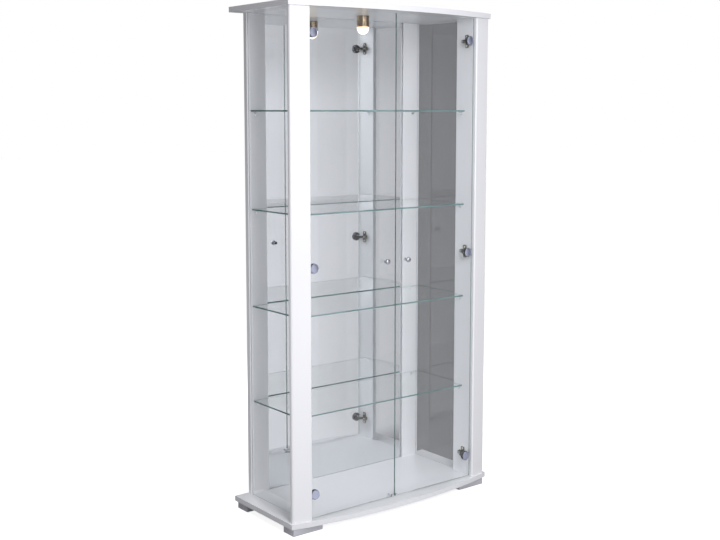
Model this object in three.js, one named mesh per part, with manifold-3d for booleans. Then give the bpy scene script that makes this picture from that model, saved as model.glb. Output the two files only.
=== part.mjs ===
// A bow-fronted glass curio cabinet with two glass doors, four glass shelves and a mirror back.
// Millimetres, +Z up, the doors face -Y, and the origin is the centre of the footprint on the floor.
// The pieces are laid out with Y measured back from the boards' front corners. The whole cabinet is
// then moved so that its footprint is centred.

import * as THREE from 'three';
import { mergeVertices } from 'three/addons/utils/BufferGeometryUtils.js';
import Module from 'manifold-3d';

const wasm = await Module();
wasm.setup();

// Driving dimensions -------------------------------------------------------------------------------

const CLEARANCE = 0.3; // between pieces that touch

const BOARD_WIDTH = 886;
const BOARD_SIDE_DEPTH = 359;
const BOARD_THICKNESS = 18;
const BOW = 51; // how far the boards' front edge stands forward of their corners
const BOW_STEPS = 40;
const INTERIOR_HEIGHT = 1695;
const HOUSING_DEPTH = 2; // of the base board's seats for whatever stands on it

const FOOT = { width: 120, depth: 61, height: 27, sideInset: 9, frontInset: 3, rearInset: 5, corner: 2 };

const PILASTER = {
  innerX: 365,
  outerX: 436.5,
  frontSetback: 6,
  panelRear: 18,
  returnRear: 96,
  returnOuterX: 380,
  innerRadius: 5,
  outerRadius: 9,
};

const POST = { innerX: 311, outerX: 390, front: 334, rear: 352, rebateX: 325, rebateY: 340 };

const SIDE_GLASS = { innerX: 380.3, thickness: 4, boardGroove: 4, postGroove: 8 };

const MIRROR = { thickness: 4, backingThickness: 3.4 };

const SHELF = {
  count: 4,
  thickness: 5,
  firstTop: 342,
  pitch: 341,
  front: 48,
  rear: 330,
  halfWidth: 375,
  frontHalfWidth: 362,
  notchRear: 99,
};

const SUPPORT = {
  width: 10,
  plateHeight: 13,
  plateThickness: 2,
  tongueLength: 13,
  tongueThickness: 2.4,
  gussetDrop: 5,
  pinRadius: 2.4,
  pinLength: 8.5,
  holeRadius: 2.7,
  holeDepth: 9,
  frontY: 68,
  rearX: 355,
};

const DOOR = { front: 2, thickness: 5, edgeGap: 3, meetingGap: 3, endGap: 3.5 };

const HINGE = {
  cupX: 20, // cup centre, measured from the pilaster's inner face
  pivotX: 22,
  pivotY: 11,
  glassHoleRadius: 13.3,
  plugRadius: 13,
  capRadius: 16.5,
  capRim: 1.2,
  capDome: 2.3,
  flangeRadius: 17,
  flangeDepth: 7,
  cavityRadius: 12.2,
  cavityFloor: 4.5,
  notchHalfHeight: 7,
  notchX: 14,
  pinRadius: 1.5,
  pinHalfLength: 13,
  barrelBore: 1.8,
  barrelRadius: 3.4,
  armHalfHeight: 4.5,
  armThickness: 3,
  // The bent arm's centre line in plan, from the pin's barrel to the mounting plate
  armBends: [[-24.4, 12.2], [-27, 20], [-27.5, 26], [-26.5, 32], [-22, 37], [-7, 45]],
  endInset: 82, // from the interior's floor and ceiling to the outer hinges
};

// The cross-shaped plate on the pilaster's inner face, and what sits on it
const HINGE_PLATE = {
  front: 34,
  rear: 60,
  halfHeight: 7,
  thickness: 3,
  wingFront: 33,
  wingRear: 51,
  wingHalfHeight: 23,
  wingThickness: 2.2,
  screwLevel: 16,
  screwRadius: 3.8,
  screwHead: 1.6,
  housingFront: 40,
  housingRear: 62,
  housingHalfHeight: 5.5,
  housingReach: 11,
  stopScrewY: 55,
  stopScrewRadius: 2.6,
  stopScrewHead: 1.4,
};

const KNOB = {
  fromMeetingEdge: 45,
  holeRadius: 3,
  stemRadius: 2.7,
  headRadius: 9.5,
  headHalfLength: 6.5,
  headFullness: 0.6, // below 1 the head is squarer than a ball
  reach: 21,
  neckRadius: 3.6,
  collarRadius: 5.4,
  collarDepth: 1.4,
  collarTaper: 1.6,
  screwRadius: 5.2,
  screwFaceRadius: 4,
  screwRim: 1.4,
  screwHeight: 2.6,
};

const STRIKER = { width: 11, height: 6, sheet: 1, edgeInset: 2 };

const CATCH = { width: 46, depth: 15, height: 12, front: 10 };

const LAMP = {
  y: 188,
  barrelRadius: 22,
  barrelHeight: 39,
  socketRadius: 16,
  socketDepth: 33,
  rimChamfer: 1.5,
  cableRadius: 4,
  bulbRadius: 23,
  bulbDepth: 25,
  neckRadius: 13,
  neckHeight: 26,
};

const GROMMET = { boardHoleRadius: 6, bodyInset: 2, flangeRadius: 9, flangeHeight: 2, chamfer: 0.6, bore: 3 };

// Levels and derived positions ---------------------------------------------------------------------

const BASE_BOTTOM = FOOT.height;
const BASE_TOP = BASE_BOTTOM + BOARD_THICKNESS;
const SEAT_LEVEL = BASE_TOP - HOUSING_DEPTH + CLEARANCE; // where the uprights, mirror and catch stand
const CEILING = BASE_TOP + INTERIOR_HEIGHT;
const BOARD_TOP = CEILING + BOARD_THICKNESS;
const HALF_WIDTH = BOARD_WIDTH / 2;
const BOW_RADIUS = (HALF_WIDTH ** 2 + BOW ** 2) / (2 * BOW);
const BOW_CENTRE_Y = BOW_RADIUS - BOW;
const DOOR_BACK = DOOR.front + DOOR.thickness;
const MIRROR_FRONT = POST.rebateY + CLEARANCE;
const MIRROR_BACK = MIRROR_FRONT + MIRROR.thickness;
const BACKING_FRONT = MIRROR_BACK + CLEARANCE;
const BACKING_BACK = BACKING_FRONT + MIRROR.backingThickness;
const DOOR_BOTTOM = BASE_TOP + DOOR.endGap;
const DOOR_TOP = CEILING - DOOR.endGap;
const DOOR_MIDDLE = (DOOR_BOTTOM + DOOR_TOP) / 2;
const GLASS_OUTER_X = SIDE_GLASS.innerX + SIDE_GLASS.thickness;
const HINGE_LEVELS = {
  lower: BASE_TOP + HINGE.endInset,
  middle: DOOR_MIDDLE,
  upper: CEILING - HINGE.endInset,
};
const SIDES = { left: -1, right: 1 };
const SHELF_NUMBERS = Array.from({ length: SHELF.count }, (_, index) => index + 1);

const shelfTop = (number) => BASE_TOP + SHELF.firstTop + SHELF.pitch * (number - 1);
const shelfBottom = (number) => shelfTop(number) - SHELF.thickness;

// Y of the boards' bowed front edge, set back by the given distance
const bowFront = (x, setback = 0) => BOW_CENTRE_Y - Math.sqrt((BOW_RADIUS - setback) ** 2 - x * x);

// Materials ----------------------------------------------------------------------------------------

const material = (color, roughness, metalness = 0) =>
  new THREE.MeshStandardMaterial({ color, roughness, metalness });

const glassMaterial = (color) =>
  new THREE.MeshStandardMaterial({ color, roughness: 0.05, transparent: true, opacity: 0.35 });

const laminate = () => material('#f1f1f5', 0.4);
const clearGlass = () => glassMaterial('#cfe6df');
const chrome = () => material('#c8c8d4', 0.12, 1);
const nickel = () => material('#a39c8d', 0.3, 1);
const footSilver = () => material('#a2a2aa', 0.45, 0.6);

// Geometry helpers ---------------------------------------------------------------------------------

const cabinet = new THREE.Group();

function addPiece(name, geometry, surface) {
  const mesh = new THREE.Mesh(geometry, surface);
  mesh.name = name;
  cabinet.add(mesh);
  return mesh;
}

function toSolid(geometry) {
  const bare = geometry.clone();
  bare.deleteAttribute('normal');
  bare.deleteAttribute('uv');
  const merged = mergeVertices(bare, 1e-3);
  return new wasm.Manifold(new wasm.Mesh({
    numProp: 3,
    vertProperties: new Float32Array(merged.attributes.position.array),
    triVerts: new Uint32Array(merged.index.array),
  }));
}

function toGeometry(solid) {
  const mesh = solid.getMesh();
  const geometry = new THREE.BufferGeometry();
  geometry.setAttribute('position', new THREE.BufferAttribute(mesh.vertProperties, 3));
  geometry.setIndex(new THREE.BufferAttribute(mesh.triVerts, 1));
  geometry.computeVertexNormals();
  return geometry;
}

const cut = (geometry, tools) =>
  toGeometry(tools.reduce((solid, tool) => solid.subtract(toSolid(tool)), toSolid(geometry)));

const join = (geometries) =>
  toGeometry(geometries.slice(1).reduce((solid, other) => solid.add(toSolid(other)), toSolid(geometries[0])));

// A box between two corners
function boxBetween([x0, y0, z0], [x1, y1, z1]) {
  const box = new THREE.BoxGeometry(Math.abs(x1 - x0), Math.abs(y1 - y0), Math.abs(z1 - z0));
  return box.translate((x0 + x1) / 2, (y0 + y1) / 2, (z0 + z1) / 2);
}

const shapeOf = (points) => new THREE.Shape(points.map(([x, y]) => new THREE.Vector2(x, y)));

// A plan outline raised from one level to another
function raise(outline, bottom, top, curveSegments = BOW_STEPS) {
  const options = { depth: top - bottom, bevelEnabled: false, curveSegments };
  return new THREE.ExtrudeGeometry(outline, options).translate(0, 0, bottom);
}

// A front-view outline in X and Z, given thickness between two Y values
function thicken(outline, front, back, curveSegments = 24) {
  const options = { depth: back - front, bevelEnabled: false, curveSegments };
  const geometry = new THREE.ExtrudeGeometry(outline, options);
  return geometry.rotateX(Math.PI / 2).translate(0, back, 0);
}

// A turned piece about an axis along Y, from [radius, y] points that run forwards on the outside
function turnAlongY(profile, segments) {
  const points = profile.map(([radius, y]) => new THREE.Vector2(radius, y)).reverse();
  return new THREE.LatheGeometry(points, segments);
}

// A turned piece about an upright axis, from [radius, z] points that run upwards on the outside
function turnUpright(profile, segments) {
  const points = profile.map(([radius, z]) => new THREE.Vector2(radius, z));
  return new THREE.LatheGeometry(points, segments).rotateX(Math.PI / 2);
}

function cylinderAlong(axis, radius, from, to, segments) {
  const geometry = new THREE.CylinderGeometry(radius, radius, Math.abs(to - from), segments);
  const middle = (from + to) / 2;
  if (axis === 'x') return geometry.rotateZ(Math.PI / 2).translate(middle, 0, 0);
  if (axis === 'y') return geometry.translate(0, middle, 0);
  return geometry.rotateX(Math.PI / 2).translate(0, 0, middle);
}

// The mirror image across the cabinet's centre plane, with its faces still pointing out
function mirrored(geometry) {
  const image = geometry.clone();
  if (!image.index) image.setIndex([...Array(image.attributes.position.count).keys()]);
  image.scale(-1, 1, 1);
  const index = image.index.array;
  for (let corner = 0; corner < index.length; corner += 3) {
    [index[corner], index[corner + 1]] = [index[corner + 1], index[corner]];
  }
  image.computeVertexNormals();
  return image;
}

// A piece drawn for the right side, turned over for the left side
const forSide = (side, geometry) => (SIDES[side] > 0 ? geometry : mirrored(geometry));

// Base and top boards ------------------------------------------------------------------------------

function boardOutline() {
  const outline = new THREE.Shape();
  const leftAngle = Math.atan2(-BOW_CENTRE_Y, -HALF_WIDTH);
  const rightAngle = Math.atan2(-BOW_CENTRE_Y, HALF_WIDTH);
  outline.absarc(0, BOW_CENTRE_Y, BOW_RADIUS, leftAngle, rightAngle, false);
  outline.lineTo(HALF_WIDTH, BOARD_SIDE_DEPTH);
  outline.lineTo(-HALF_WIDTH, BOARD_SIDE_DEPTH);
  outline.closePath();
  return outline;
}

function glassGrooves(bottom, top) {
  return Object.values(SIDES).map((sign) => boxBetween(
    [sign * (SIDE_GLASS.innerX - CLEARANCE), PILASTER.panelRear, bottom],
    [sign * (GLASS_OUTER_X + CLEARANCE), POST.front + SIDE_GLASS.postGroove, top],
  ));
}

// Shallow seats in the base board's top for the pilasters, posts, mirror, back panel and catch
function baseHousings(bottom, top) {
  const seat = ([x0, y0], [x1, y1]) => boxBetween([x0, y0, bottom], [x1, y1, top]);
  const pilaster = raise(pilasterOutline(CLEARANCE), bottom, top, 6);
  const postInner = POST.innerX - CLEARANCE;
  const postOuter = POST.outerX + CLEARANCE;
  return [
    pilaster,
    mirrored(pilaster),
    ...Object.values(SIDES).map((sign) => seat(
      [sign * postInner, POST.front - CLEARANCE],
      [sign * postOuter, POST.rear + CLEARANCE],
    )),
    seat([-POST.rebateX, POST.rebateY], [POST.rebateX, BACKING_BACK + CLEARANCE]),
    seat(
      [-CATCH.width / 2 - CLEARANCE, CATCH.front - CLEARANCE],
      [CATCH.width / 2 + CLEARANCE, CATCH.front + CATCH.depth + CLEARANCE],
    ),
  ];
}

// The lamp lead's hole through the top board, and the recess that lets the grommet's flange lie flush
function cableHoles(overcut) {
  const end = BOARD_TOP + overcut;
  const recessFloor = BOARD_TOP - GROMMET.flangeHeight - CLEARANCE;
  return [
    cylinderAlong('z', GROMMET.boardHoleRadius, CEILING - overcut, end, 24),
    cylinderAlong('z', GROMMET.flangeRadius + CLEARANCE, recessFloor, end, 32),
  ].map((hole) => hole.translate(0, LAMP.y, 0));
}

function makeBoards() {
  const overcut = 1;
  const base = raise(boardOutline(), BASE_BOTTOM, BASE_TOP);
  addPiece('base_board', cut(base, [
    ...glassGrooves(BASE_TOP - SIDE_GLASS.boardGroove, BASE_TOP + overcut),
    ...baseHousings(BASE_TOP - HOUSING_DEPTH, BASE_TOP + overcut),
  ]), laminate());

  const top = raise(boardOutline(), CEILING, BOARD_TOP);
  const topGrooves = glassGrooves(CEILING - overcut, CEILING + SIDE_GLASS.boardGroove);
  addPiece('top_board', cut(top, [...topGrooves, ...cableHoles(overcut)]), laminate());
}

function makeFeet() {
  const halfWidth = FOOT.width / 2;
  const halfDepth = FOOT.depth / 2;
  const rows = {
    front: FOOT.frontInset + halfDepth,
    rear: BOARD_SIDE_DEPTH - FOOT.rearInset - halfDepth,
  };
  for (const [row, y] of Object.entries(rows)) {
    for (const [side, sign] of Object.entries(SIDES)) {
      const outline = roundedRectangle(halfWidth, halfDepth, FOOT.corner);
      const foot = raise(outline, 0, FOOT.height - CLEARANCE, 4);
      foot.translate(sign * (HALF_WIDTH - FOOT.sideInset - halfWidth), y, 0);
      addPiece(`foot_${row}_${side}`, foot, footSilver());
    }
  }
}

function roundedRectangle(halfX, halfY, radius) {
  const outline = new THREE.Shape();
  outline.absarc(halfX - radius, halfY - radius, radius, 0, Math.PI / 2, false);
  outline.absarc(-halfX + radius, halfY - radius, radius, Math.PI / 2, Math.PI, false);
  outline.absarc(-halfX + radius, -halfY + radius, radius, Math.PI, 1.5 * Math.PI, false);
  outline.absarc(halfX - radius, -halfY + radius, radius, 1.5 * Math.PI, 2 * Math.PI, false);
  outline.closePath();
  return outline;
}

// Pilasters, rear posts and fixed glass ------------------------------------------------------------

// Plan of the right pilaster, a bow-fronted panel with a return board behind its inner edge. It can be
// grown outwards all round.
function pilasterOutline(growth = 0) {
  const innerX = PILASTER.innerX - growth;
  const outerX = PILASTER.outerX + growth;
  const panelRear = PILASTER.panelRear + growth;
  const returnRear = PILASTER.returnRear + growth;
  const returnOuterX = PILASTER.returnOuterX + growth;
  const innerRadius = PILASTER.innerRadius + growth;
  const outerRadius = PILASTER.outerRadius + growth;
  const setback = PILASTER.frontSetback - growth;
  const innerFront = bowFront(innerX + innerRadius, setback);
  const outerFront = bowFront(outerX - outerRadius, setback);
  const frontSteps = 6;
  const outline = new THREE.Shape();
  outline.moveTo(innerX, returnRear);
  outline.lineTo(innerX, innerFront + innerRadius);
  outline.absarc(innerX + innerRadius, innerFront + innerRadius, innerRadius, Math.PI, 1.5 * Math.PI, false);
  for (let step = 1; step < frontSteps; step += 1) {
    const x = THREE.MathUtils.lerp(innerX + innerRadius, outerX - outerRadius, step / frontSteps);
    outline.lineTo(x, bowFront(x, setback));
  }
  const outerCentreX = outerX - outerRadius;
  outline.absarc(outerCentreX, outerFront + outerRadius, outerRadius, 1.5 * Math.PI, 2 * Math.PI, false);
  outline.lineTo(outerX, panelRear);
  outline.lineTo(returnOuterX, panelRear);
  outline.lineTo(returnOuterX, returnRear);
  outline.closePath();
  return outline;
}

// Plan of the right rear post, with a groove for the side glass and a rebate for the mirror
function postOutline() {
  const grooveInner = SIDE_GLASS.innerX - CLEARANCE;
  const grooveOuter = GLASS_OUTER_X + CLEARANCE;
  const grooveEnd = POST.front + SIDE_GLASS.postGroove;
  return shapeOf([
    [POST.innerX, POST.front],
    [grooveInner, POST.front],
    [grooveInner, grooveEnd],
    [grooveOuter, grooveEnd],
    [grooveOuter, POST.front],
    [POST.outerX, POST.front],
    [POST.outerX, POST.rear],
    [POST.rebateX, POST.rear],
    [POST.rebateX, POST.rebateY],
    [POST.innerX, POST.rebateY],
  ]);
}

// The level of the middle of a support's pin under the given shelf
const pinLevel = (number) => shelfBottom(number) - CLEARANCE - SUPPORT.plateHeight / 2;

function makeUprights() {
  const bottom = SEAT_LEVEL;
  const top = CEILING - CLEARANCE;
  const overcut = 1;
  for (const side of Object.keys(SIDES)) {
    const returnHoles = SHELF_NUMBERS.map((number) => cylinderAlong(
      'x', SUPPORT.holeRadius, PILASTER.innerX - overcut, PILASTER.innerX + SUPPORT.holeDepth, 12,
    ).translate(0, SUPPORT.frontY, pinLevel(number)));
    const pilaster = cut(raise(pilasterOutline(), bottom, top, 6), returnHoles);
    addPiece(`pilaster_${side}`, forSide(side, pilaster), laminate());

    const postHoles = SHELF_NUMBERS.map((number) => cylinderAlong(
      'y', SUPPORT.holeRadius, POST.front - overcut, POST.front + SUPPORT.holeDepth, 12,
    ).translate(SUPPORT.rearX, 0, pinLevel(number)));
    const post = cut(raise(postOutline(), bottom, top), postHoles);
    addPiece(`rear_post_${side}`, forSide(side, post), laminate());
  }
}

function makeFixedGlass() {
  const intoGroove = SIDE_GLASS.boardGroove - CLEARANCE;
  for (const [side, sign] of Object.entries(SIDES)) {
    addPiece(`side_glass_${side}`, boxBetween(
      [sign * SIDE_GLASS.innerX, PILASTER.panelRear + CLEARANCE, BASE_TOP - intoGroove],
      [sign * GLASS_OUTER_X, POST.front + SIDE_GLASS.postGroove - CLEARANCE, CEILING + intoGroove],
    ), clearGlass());
  }

  const halfWidth = POST.rebateX - CLEARANCE;
  const top = CEILING - CLEARANCE;
  addPiece('back_mirror', boxBetween(
    [-halfWidth, MIRROR_FRONT, SEAT_LEVEL],
    [halfWidth, MIRROR_BACK, top],
  ), material('#d6d8e0', 0.03, 1));
  addPiece('back_panel', boxBetween(
    [-halfWidth, BACKING_FRONT, SEAT_LEVEL],
    [halfWidth, BACKING_BACK, top],
  ), material('#dcdce0', 0.7));
}

// Shelves and their supports -----------------------------------------------------------------------

function makeShelves() {
  const { front, rear, halfWidth, frontHalfWidth, notchRear } = SHELF;
  const outline = shapeOf([
    [-frontHalfWidth, front],
    [frontHalfWidth, front],
    [frontHalfWidth, notchRear],
    [halfWidth, notchRear],
    [halfWidth, rear],
    [-halfWidth, rear],
    [-halfWidth, notchRear],
    [-frontHalfWidth, notchRear],
  ]);
  for (const number of SHELF_NUMBERS) {
    addPiece(`shelf_${number}`, raise(outline, shelfBottom(number), shelfTop(number)), clearGlass());
  }
}

// A support drawn at the origin: its plate's back is the plane x = 0, its tongue points to -X with
// its top at z = 0, and its pin runs into +X
function supportGeometry() {
  const { width, plateHeight, plateThickness, tongueLength, tongueThickness, gussetDrop } = SUPPORT;
  const profile = shapeOf([
    [0, -plateHeight],
    [0, 0],
    [-tongueLength, 0],
    [-tongueLength, -tongueThickness],
    [-plateThickness - gussetDrop, -tongueThickness],
    [-plateThickness, -tongueThickness - gussetDrop],
    [-plateThickness, -plateHeight],
  ]);
  const bracket = thicken(profile, -width / 2, width / 2);
  const pin = cylinderAlong('x', SUPPORT.pinRadius, -plateThickness / 2, SUPPORT.pinLength, 12);
  return join([bracket, pin.translate(0, 0, -plateHeight / 2)]);
}

function makeSupports() {
  for (const number of SHELF_NUMBERS) {
    const level = shelfBottom(number) - CLEARANCE;
    for (const [side, sign] of Object.entries(SIDES)) {
      const front = supportGeometry().translate(PILASTER.innerX - CLEARANCE, SUPPORT.frontY, level);
      addPiece(`shelf_${number}_support_front_${side}`, forSide(side, front), nickel());

      const rear = supportGeometry().rotateZ(Math.PI / 2);
      rear.translate(sign * SUPPORT.rearX, POST.front - CLEARANCE, level);
      addPiece(`shelf_${number}_support_rear_${side}`, rear, nickel());
    }
  }
}

// Doors, knobs and strikers ------------------------------------------------------------------------

function circularHole(x, z, radius) {
  const hole = new THREE.Path();
  hole.absarc(x, z, radius, 0, 2 * Math.PI, true);
  return hole;
}

function makeDoors() {
  const edgeX = PILASTER.innerX - DOOR.edgeGap;
  const meetingX = DOOR.meetingGap / 2;
  const pane = shapeOf([
    [meetingX, DOOR_BOTTOM],
    [edgeX, DOOR_BOTTOM],
    [edgeX, DOOR_TOP],
    [meetingX, DOOR_TOP],
  ]);
  for (const level of Object.values(HINGE_LEVELS)) {
    pane.holes.push(circularHole(PILASTER.innerX - HINGE.cupX, level, HINGE.glassHoleRadius));
  }
  const knobX = meetingX + KNOB.fromMeetingEdge;
  pane.holes.push(circularHole(knobX, DOOR_MIDDLE, KNOB.holeRadius));

  for (const side of Object.keys(SIDES)) {
    addPiece(`door_glass_${side}`, forSide(side, thicken(pane, DOOR.front, DOOR_BACK, 14)), clearGlass());
    addPiece(`knob_${side}`, forSide(side, knobGeometry().translate(knobX, 0, DOOR_MIDDLE)), chrome());
    addPiece(`striker_${side}`, forSide(side, strikerGeometry(meetingX)), chrome());
  }
}

// A turned knob on a stem through the glass, with a screw head behind it
function knobGeometry() {
  const { stemRadius, neckRadius, collarRadius, collarDepth, headRadius, headHalfLength } = KNOB;
  const seat = DOOR.front - CLEARANCE;
  const tip = DOOR.front - KNOB.reach;
  const screwSeat = DOOR_BACK + CLEARANCE;
  const profile = [
    [0, screwSeat + KNOB.screwHeight],
    [KNOB.screwFaceRadius, screwSeat + KNOB.screwHeight],
    [KNOB.screwRadius, screwSeat + KNOB.screwRim],
    [KNOB.screwRadius, screwSeat],
    [stemRadius, screwSeat],
    [stemRadius, seat],
    [collarRadius, seat],
    [collarRadius, seat - collarDepth],
    [neckRadius, seat - collarDepth - KNOB.collarTaper],
    [neckRadius, tip + 2 * headHalfLength],
  ];
  const headSteps = 8;
  for (let step = 1; step < headSteps; step += 1) {
    const angle = Math.PI * (step / headSteps);
    profile.push([
      headRadius * Math.sin(angle) ** KNOB.headFullness,
      tip + headHalfLength * (1 + Math.cos(angle)),
    ]);
  }
  profile.push([0, tip]);
  return turnAlongY(profile, 20);
}

// A folded steel clip around the door's lower corner at the meeting edge
function strikerGeometry(meetingX) {
  const { width, height, sheet, edgeInset } = STRIKER;
  const front = DOOR.front - CLEARANCE;
  const back = DOOR_BACK + CLEARANCE;
  const fold = DOOR_BOTTOM - CLEARANCE;
  const start = meetingX + edgeInset;
  const end = start + width;
  const outer = boxBetween([start, front - sheet, fold - sheet], [end, back + sheet, fold + height]);
  const inner = boxBetween([start - 1, front, fold], [end + 1, back, fold + height + 1]);
  return cut(outer, [inner]);
}

// Hinges -------------------------------------------------------------------------------------------

// The right side's cup, drawn with x = 0 at the pilaster's inner face and its centre at -cupX
function hingeCupGeometry() {
  const seat = DOOR.front - CLEARANCE;
  const flangeFront = DOOR_BACK + CLEARANCE;
  const flangeBack = flangeFront + HINGE.flangeDepth;
  const domeSteps = 4;
  const profile = [
    [0, HINGE.cavityFloor],
    [HINGE.cavityRadius, HINGE.cavityFloor],
    [HINGE.cavityRadius, flangeBack],
    [HINGE.flangeRadius, flangeBack],
    [HINGE.flangeRadius, flangeFront],
    [HINGE.plugRadius, flangeFront],
    [HINGE.plugRadius, seat],
    [HINGE.capRadius, seat],
  ];
  for (let step = 0; step <= domeSteps; step += 1) {
    const share = step / domeSteps;
    const rise = (HINGE.capDome - HINGE.capRim) * (1 - (1 - share) ** 2);
    profile.push([HINGE.capRadius * (1 - share), seat - HINGE.capRim - rise]);
  }
  const cup = turnAlongY(profile, 32).translate(-HINGE.cupX, 0, 0);
  const notch = boxBetween(
    [1, flangeFront + CLEARANCE, -HINGE.notchHalfHeight],
    [-HINGE.notchX, flangeBack + 1, HINGE.notchHalfHeight],
  );
  const pin = cylinderAlong('z', HINGE.pinRadius, -HINGE.pinHalfLength, HINGE.pinHalfLength, 12)
    .translate(-HINGE.pivotX, HINGE.pivotY, 0);
  return join([cut(cup, [notch]), pin]);
}

// A band of even thickness along a bent centre line in plan
function bandOutline(points, thickness) {
  const offsets = points.map(([x, y], index) => {
    const [px, py] = points[Math.max(index - 1, 0)];
    const [nx, ny] = points[Math.min(index + 1, points.length - 1)];
    const length = Math.hypot(nx - px, ny - py);
    return [x, y, (-(ny - py) / length) * (thickness / 2), ((nx - px) / length) * (thickness / 2)];
  });
  const outward = offsets.map(([x, y, ox, oy]) => [x + ox, y + oy]);
  const inward = offsets.map(([x, y, ox, oy]) => [x - ox, y - oy]).reverse();
  return shapeOf([...outward, ...inward]);
}

// The right side's fixed arm: a barrel round the cup's pin, a cranked arm and a cross-shaped plate
function hingeArmGeometry() {
  const half = HINGE.armHalfHeight;
  const plateBack = -CLEARANCE;
  const wingX = plateBack - HINGE_PLATE.wingThickness;
  const overlap = 1;
  const barrel = cut(
    cylinderAlong('z', HINGE.barrelRadius, -half, half, 20),
    [cylinderAlong('z', HINGE.barrelBore, -half - overlap, half + overlap, 20)],
  ).translate(-HINGE.pivotX, HINGE.pivotY, 0);
  const crank = raise(bandOutline(HINGE.armBends, HINGE.armThickness), -half, half);
  const housing = boxBetween(
    [wingX, HINGE_PLATE.housingFront, -HINGE_PLATE.housingHalfHeight],
    [-HINGE_PLATE.housingReach, HINGE_PLATE.housingRear, HINGE_PLATE.housingHalfHeight],
  );
  const plate = boxBetween(
    [plateBack, HINGE_PLATE.front, -HINGE_PLATE.halfHeight],
    [plateBack - HINGE_PLATE.thickness, HINGE_PLATE.rear, HINGE_PLATE.halfHeight],
  );
  const wings = boxBetween(
    [plateBack, HINGE_PLATE.wingFront, -HINGE_PLATE.wingHalfHeight],
    [wingX, HINGE_PLATE.wingRear, HINGE_PLATE.wingHalfHeight],
  );
  const screwY = (HINGE_PLATE.wingFront + HINGE_PLATE.wingRear) / 2;
  const screws = [-1, 1].map((sign) => cylinderAlong(
    'x', HINGE_PLATE.screwRadius, wingX - HINGE_PLATE.screwHead, wingX + overlap, 12,
  ).translate(0, screwY, sign * HINGE_PLATE.screwLevel));
  const stopScrew = cylinderAlong(
    'x',
    HINGE_PLATE.stopScrewRadius,
    -HINGE_PLATE.housingReach - HINGE_PLATE.stopScrewHead,
    -HINGE_PLATE.housingReach + overlap,
    12,
  ).translate(0, HINGE_PLATE.stopScrewY, 0);
  return join([barrel, crank, housing, plate, wings, ...screws, stopScrew]);
}

function makeHinges() {
  for (const [side, sign] of Object.entries(SIDES)) {
    for (const [place, level] of Object.entries(HINGE_LEVELS)) {
      const cup = forSide(side, hingeCupGeometry()).translate(sign * PILASTER.innerX, 0, level);
      addPiece(`hinge_cup_${side}_${place}`, cup, chrome());
      const arm = forSide(side, hingeArmGeometry()).translate(sign * PILASTER.innerX, 0, level);
      addPiece(`hinge_arm_${side}_${place}`, arm, nickel());
    }
  }
}

// Lamp, cable grommet and magnetic catch -----------------------------------------------------------

function makeLamp() {
  const top = CEILING - CLEARANCE;
  const bottom = top - LAMP.barrelHeight;
  const socketTop = bottom + LAMP.socketDepth;
  const barrel = turnUpright([
    [LAMP.cableRadius, socketTop],
    [LAMP.socketRadius, socketTop],
    [LAMP.socketRadius, bottom],
    [LAMP.barrelRadius - LAMP.rimChamfer, bottom],
    [LAMP.barrelRadius, bottom + LAMP.rimChamfer],
    [LAMP.barrelRadius, top],
    [LAMP.cableRadius, top],
    [LAMP.cableRadius, socketTop],
  ], 32).translate(0, LAMP.y, 0);
  addPiece('lamp_holder', barrel, material('#b9a98a', 0.15, 1));

  const domeTop = bottom - CLEARANCE;
  const domeSteps = 10;
  const profile = [];
  for (let step = 0; step <= domeSteps; step += 1) {
    const angle = (Math.PI / 2) * (step / domeSteps);
    profile.push([LAMP.bulbRadius * Math.sin(angle), domeTop - LAMP.bulbDepth * Math.cos(angle)]);
  }
  profile.push([LAMP.neckRadius, domeTop], [LAMP.neckRadius, domeTop + LAMP.neckHeight]);
  profile.push([0, domeTop + LAMP.neckHeight]);
  profile[0][0] = 0;
  addPiece('lamp_bulb', turnUpright(profile, 32).translate(0, LAMP.y, 0), material('#fff6df', 0.3));
}

function makeGrommet() {
  const bodyRadius = GROMMET.boardHoleRadius - CLEARANCE;
  const rimTop = BOARD_TOP;
  const seat = rimTop - GROMMET.flangeHeight;
  const bodyBottom = CEILING + GROMMET.bodyInset;
  const grommet = turnUpright([
    [GROMMET.bore, bodyBottom],
    [bodyRadius, bodyBottom],
    [bodyRadius, seat],
    [GROMMET.flangeRadius, seat],
    [GROMMET.flangeRadius, rimTop - GROMMET.chamfer],
    [GROMMET.flangeRadius - GROMMET.chamfer, rimTop],
    [GROMMET.bore, rimTop],
    [GROMMET.bore, bodyBottom],
  ], 24).translate(0, LAMP.y, 0);
  addPiece('cable_grommet', grommet, material('#e6e6ea', 0.6));
}

function makeCatch() {
  addPiece('magnetic_catch', boxBetween(
    [-CATCH.width / 2, CATCH.front, SEAT_LEVEL],
    [CATCH.width / 2, CATCH.front + CATCH.depth, BASE_TOP + CATCH.height],
  ), material('#e9e9ec', 0.45));
}

// Assembly -----------------------------------------------------------------------------------------

makeBoards();
makeFeet();
makeUprights();
makeFixedGlass();
makeShelves();
makeSupports();
makeDoors();
makeHinges();
makeLamp();
makeGrommet();
makeCatch();

cabinet.position.y = (BOW - BOARD_SIDE_DEPTH) / 2;

const group = new THREE.Group();
group.add(cabinet);

export default group;
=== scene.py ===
import math

import bmesh
import bpy
from mathutils import Matrix, Vector


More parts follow.
